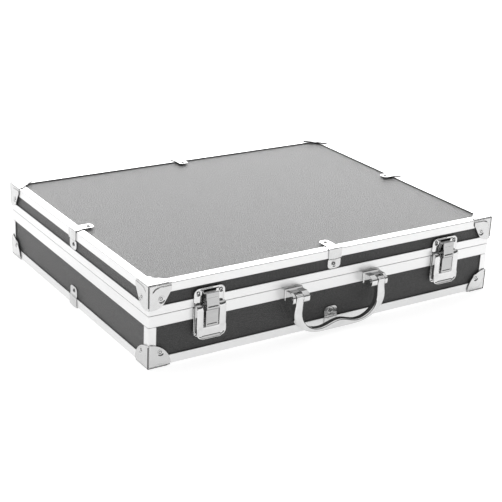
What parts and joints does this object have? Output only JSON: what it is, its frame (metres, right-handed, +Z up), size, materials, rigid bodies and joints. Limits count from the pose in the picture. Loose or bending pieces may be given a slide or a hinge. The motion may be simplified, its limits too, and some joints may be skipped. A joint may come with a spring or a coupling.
{
  "type": "hard carrying case",
  "caption": "Flat hard case of black boards in aluminium edging, with a hinged lid, toggle latches, steel corner caps and a folding handle.",
  "frame": {"origin": "centre of the shell in plan, on the plane that the base's corner caps stand on", "axes": "+Z up with the case lying flat, -Y to the front with the latches and the handle, +X to the right along the front"},
  "size_m": [0.45, 0.3709, 0.092],
  "materials": {
    "aluminium_profile": "drawn and lightly brushed along its length, clear anodised",
    "plated_steel": "pressed steel, bright nickel plated",
    "chrome": "polished chrome plate",
    "black_laminate": "fibreboard under a black laminate with a fine pebbled grain",
    "foam": "black open-cell foam"
  },
  "bodies": {
    "base": {"base_bottom_panel": "black_laminate", "base_cap_back_left": "plated_steel", "base_cap_back_right": "plated_steel", "base_cap_front_left": "plated_steel", "base_cap_front_right": "plated_steel", "base_clamp_back": "plated_steel", "base_clamp_front": "plated_steel", "base_clamp_left": "plated_steel", "base_clamp_right": "plated_steel", "base_edge_back": "aluminium_profile", "base_edge_front": "aluminium_profile", "base_edge_left": "aluminium_profile", "base_edge_right": "aluminium_profile", "base_lining": "foam", "base_post_back_left": "aluminium_profile", "base_post_back_right": "aluminium_profile", "base_post_front_left": "aluminium_profile", "base_post_front_right": "aluminium_profile", "base_rim": "aluminium_profile", "base_wall_back": "black_laminate", "base_wall_front": "black_laminate", "base_wall_left": "black_laminate", "base_wall_right": "black_laminate", "handle_bracket_left": "chrome", "handle_bracket_right": "chrome", "hinge_base_leaf_left": "plated_steel", "hinge_base_leaf_right": "plated_steel", "hinge_pin_left": "plated_steel", "hinge_pin_right": "plated_steel", "latch_plate_left": "plated_steel", "latch_plate_right": "plated_steel"},
    "lid": {"hinge_lid_leaf_left": "plated_steel", "hinge_lid_leaf_right": "plated_steel", "latch_keeper_left": "chrome", "latch_keeper_right": "chrome", "lid_cap_back_left": "plated_steel", "lid_cap_back_right": "plated_steel", "lid_cap_front_left": "plated_steel", "lid_cap_front_right": "plated_steel", "lid_clamp_back": "plated_steel", "lid_clamp_front": "plated_steel", "lid_clamp_left": "plated_steel", "lid_clamp_right": "plated_steel", "lid_edge_back": "aluminium_profile", "lid_edge_front": "aluminium_profile", "lid_edge_left": "aluminium_profile", "lid_edge_right": "aluminium_profile", "lid_lining": "foam", "lid_rim": "aluminium_profile", "lid_top_panel": "black_laminate", "lid_wall_back": "black_laminate", "lid_wall_front": "black_laminate", "lid_wall_left": "black_laminate", "lid_wall_right": "black_laminate"},
    "handle": {"handle": "chrome"},
    "lever_left": {"latch_lever_left": "chrome"},
    "draw_plate_left": {"latch_draw_plate_left": "chrome"},
    "lever_right": {"latch_lever_right": "chrome"},
    "draw_plate_right": {"latch_draw_plate_right": "chrome"}
  },
  "joints": [
    {"name": "lid_hinge", "type": "hinge", "parent": "base", "child": "lid", "pos_m": [0, 0.1769, 0.058], "axis": [-1, 0, 0], "range_deg": [0, 100]},
    {"name": "handle_swing", "type": "hinge", "parent": "base", "child": "handle", "pos_m": [0, -0.1865, 0.0498], "axis": [-1, 0, 0], "range_deg": [-8, 175]},
    {"name": "lever_left_swing", "type": "hinge", "parent": "base", "child": "lever_left", "pos_m": [-0.155, -0.1781, 0.0585], "axis": [-1, 0, 0], "range_deg": [0, 100]},
    {"name": "draw_plate_left_swing", "type": "hinge", "parent": "lever_left", "child": "draw_plate_left", "pos_m": [-0.155, -0.1773, 0.041], "axis": [1, 0, 0], "range_deg": [0, 100]},
    {"name": "lever_right_swing", "type": "hinge", "parent": "base", "child": "lever_right", "pos_m": [0.155, -0.1781, 0.0585], "axis": [-1, 0, 0], "range_deg": [0, 100]},
    {"name": "draw_plate_right_swing", "type": "hinge", "parent": "lever_right", "child": "draw_plate_right", "pos_m": [0.155, -0.1773, 0.041], "axis": [1, 0, 0], "range_deg": [0, 100]}
  ],
  "couplings": [
    {"joint": "draw_plate_left_swing", "follows": "lever_left_swing", "ratio": 1},
    {"joint": "draw_plate_right_swing", "follows": "lever_right_swing", "ratio": 1}
  ]
}
